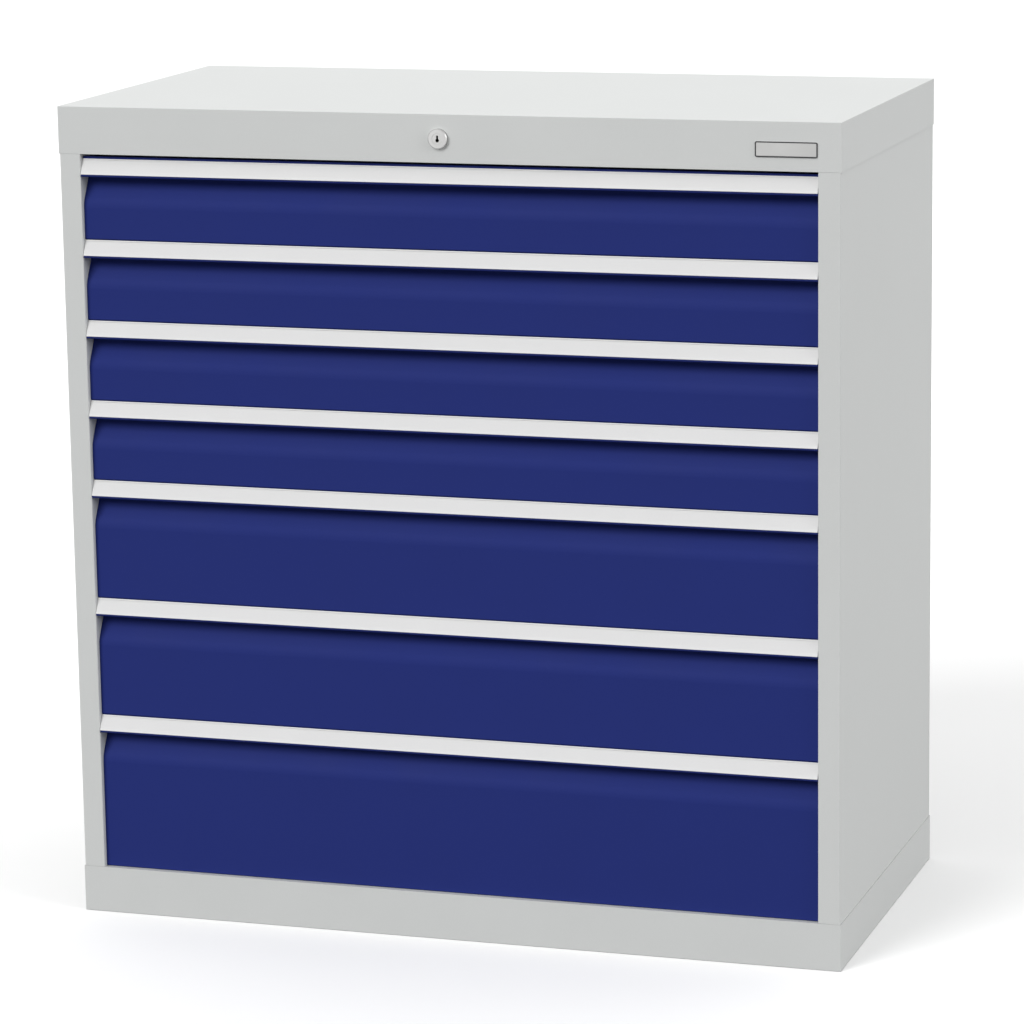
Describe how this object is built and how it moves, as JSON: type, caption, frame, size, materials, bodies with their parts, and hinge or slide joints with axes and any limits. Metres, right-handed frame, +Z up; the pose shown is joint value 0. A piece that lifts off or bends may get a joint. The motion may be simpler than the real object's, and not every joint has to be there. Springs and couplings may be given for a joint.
{
  "type": "multi-drawer cabinet",
  "caption": "Floor-standing sheet-steel workshop cabinet: stacked drawers on telescopic runners, slanted grip strips over scooped finger pulls, a plinth and one central lock.",
  "frame": {"origin": "on the floor, in the middle of the cabinet's footprint", "axes": "+Z up, the drawers open towards -Y, +X to the right of someone who faces the drawers"},
  "size_m": [0.98, 0.505, 1.019],
  "materials": {
    "grey_paint": "light-grey powder coat, fine orange peel, semi-matt",
    "blue_paint": "dark-blue powder coat, fine orange peel, semi-matt",
    "tray_paint": "light-grey powder coat inside and out",
    "grip_aluminium": "satin anodised",
    "label_card": "matt light-grey card",
    "zinc_steel": "bright zinc plate",
    "nickel": "satin nickel plate",
    "plate": "matt plate with a dark rim, bare"
  },
  "bodies": {
    "cabinet": {"top_cover": "grey_paint", "plinth_base": "grey_paint", "back_panel": "grey_paint", "floor_panel": "grey_paint", "left_side_panel": "grey_paint", "right_side_panel": "grey_paint", "left_runner_posts": "zinc_steel", "right_runner_posts": "zinc_steel", "left_cabinet_runners": "zinc_steel", "right_cabinet_runners": "zinc_steel", "lock_housing": "nickel", "lock_nut": "nickel", "lock_shaft_bracket": "zinc_steel", "lock_bar_guides": "zinc_steel", "badge_plate": "plate"},
    "drawer_1": {"drawer_1_tray": "tray_paint", "drawer_1_front": "blue_paint", "drawer_1_grip_strip": "grip_aluminium", "drawer_1_label_strip": "label_card", "drawer_1_runners": "zinc_steel"},
    "drawer_1_middle": {"drawer_1_middle_runners": "zinc_steel"},
    "drawer_2": {"drawer_2_tray": "tray_paint", "drawer_2_front": "blue_paint", "drawer_2_grip_strip": "grip_aluminium", "drawer_2_label_strip": "label_card", "drawer_2_runners": "zinc_steel"},
    "drawer_2_middle": {"drawer_2_middle_runners": "zinc_steel"},
    "drawer_3": {"drawer_3_tray": "tray_paint", "drawer_3_front": "blue_paint", "drawer_3_grip_strip": "grip_aluminium", "drawer_3_label_strip": "label_card", "drawer_3_runners": "zinc_steel"},
    "drawer_3_middle": {"drawer_3_middle_runners": "zinc_steel"},
    "drawer_4": {"drawer_4_tray": "tray_paint", "drawer_4_front": "blue_paint", "drawer_4_grip_strip": "grip_aluminium", "drawer_4_label_strip": "label_card", "drawer_4_runners": "zinc_steel"},
    "drawer_4_middle": {"drawer_4_middle_runners": "zinc_steel"},
    "drawer_5": {"drawer_5_tray": "tray_paint", "drawer_5_front": "blue_paint", "drawer_5_grip_strip": "grip_aluminium", "drawer_5_label_strip": "label_card", "drawer_5_runners": "zinc_steel"},
    "drawer_5_middle": {"drawer_5_middle_runners": "zinc_steel"},
    "drawer_6": {"drawer_6_tray": "tray_paint", "drawer_6_front": "blue_paint", "drawer_6_grip_strip": "grip_aluminium", "drawer_6_label_strip": "label_card", "drawer_6_runners": "zinc_steel"},
    "drawer_6_middle": {"drawer_6_middle_runners": "zinc_steel"},
    "drawer_7": {"drawer_7_tray": "tray_paint", "drawer_7_front": "blue_paint", "drawer_7_grip_strip": "grip_aluminium", "drawer_7_label_strip": "label_card", "drawer_7_runners": "zinc_steel"},
    "drawer_7_middle": {"drawer_7_middle_runners": "zinc_steel"},
    "lock_core": {"lock_plug": "nickel", "lock_shaft": "zinc_steel"},
    "lock_bar": {"lock_bar": "zinc_steel"}
  },
  "joints": [
    {"name": "drawer_1_slide", "type": "slide", "parent": "cabinet", "child": "drawer_1", "axis": [0, -1, 0], "range_m": [0, 0.42]},
    {"name": "drawer_1_middle_slide", "type": "slide", "parent": "cabinet", "child": "drawer_1_middle", "axis": [0, -1, 0], "range_m": [0, 0.21]},
    {"name": "drawer_2_slide", "type": "slide", "parent": "cabinet", "child": "drawer_2", "axis": [0, -1, 0], "range_m": [0, 0.42]},
    {"name": "drawer_2_middle_slide", "type": "slide", "parent": "cabinet", "child": "drawer_2_middle", "axis": [0, -1, 0], "range_m": [0, 0.21]},
    {"name": "drawer_3_slide", "type": "slide", "parent": "cabinet", "child": "drawer_3", "axis": [0, -1, 0], "range_m": [0, 0.42]},
    {"name": "drawer_3_middle_slide", "type": "slide", "parent": "cabinet", "child": "drawer_3_middle", "axis": [0, -1, 0], "range_m": [0, 0.21]},
    {"name": "drawer_4_slide", "type": "slide", "parent": "cabinet", "child": "drawer_4", "axis": [0, -1, 0], "range_m": [0, 0.42]},
    {"name": "drawer_4_middle_slide", "type": "slide", "parent": "cabinet", "child": "drawer_4_middle", "axis": [0, -1, 0], "range_m": [0, 0.21]},
    {"name": "drawer_5_slide", "type": "slide", "parent": "cabinet", "child": "drawer_5", "axis": [0, -1, 0], "range_m": [0, 0.42]},
    {"name": "drawer_5_middle_slide", "type": "slide", "parent": "cabinet", "child": "drawer_5_middle", "axis": [0, -1, 0], "range_m": [0, 0.21]},
    {"name": "drawer_6_slide", "type": "slide", "parent": "cabinet", "child": "drawer_6", "axis": [0, -1, 0], "range_m": [0, 0.42]},
    {"name": "drawer_6_middle_slide", "type": "slide", "parent": "cabinet", "child": "drawer_6_middle", "axis": [0, -1, 0], "range_m": [0, 0.21]},
    {"name": "drawer_7_slide", "type": "slide", "parent": "cabinet", "child": "drawer_7", "axis": [0, -1, 0], "range_m": [0, 0.42]},
    {"name": "drawer_7_middle_slide", "type": "slide", "parent": "cabinet", "child": "drawer_7_middle", "axis": [0, -1, 0], "range_m": [0, 0.21]},
    {"name": "lock_turn", "type": "hinge", "parent": "cabinet", "child": "lock_core", "pos_m": [0, -0.25, 0.99], "axis": [0, 1, 0], "range_deg": [0, 90]},
    {"name": "lock_bar_lift", "type": "slide", "parent": "cabinet", "child": "lock_bar", "axis": [0, 0, 1], "range_m": [0, 0.012]}
  ],
  "couplings": [
    {"joint": "drawer_1_middle_slide", "follows": "drawer_1_slide", "ratio": 0.5},
    {"joint": "drawer_2_middle_slide", "follows": "drawer_2_slide", "ratio": 0.5},
    {"joint": "drawer_3_middle_slide", "follows": "drawer_3_slide", "ratio": 0.5},
    {"joint": "drawer_4_middle_slide", "follows": "drawer_4_slide", "ratio": 0.5},
    {"joint": "drawer_5_middle_slide", "follows": "drawer_5_slide", "ratio": 0.5},
    {"joint": "drawer_6_middle_slide", "follows": "drawer_6_slide", "ratio": 0.5},
    {"joint": "drawer_7_middle_slide", "follows": "drawer_7_slide", "ratio": 0.5},
    {"joint": "lock_turn", "follows": "lock_bar_lift", "rad_per_m": 130.89}
  ]
}
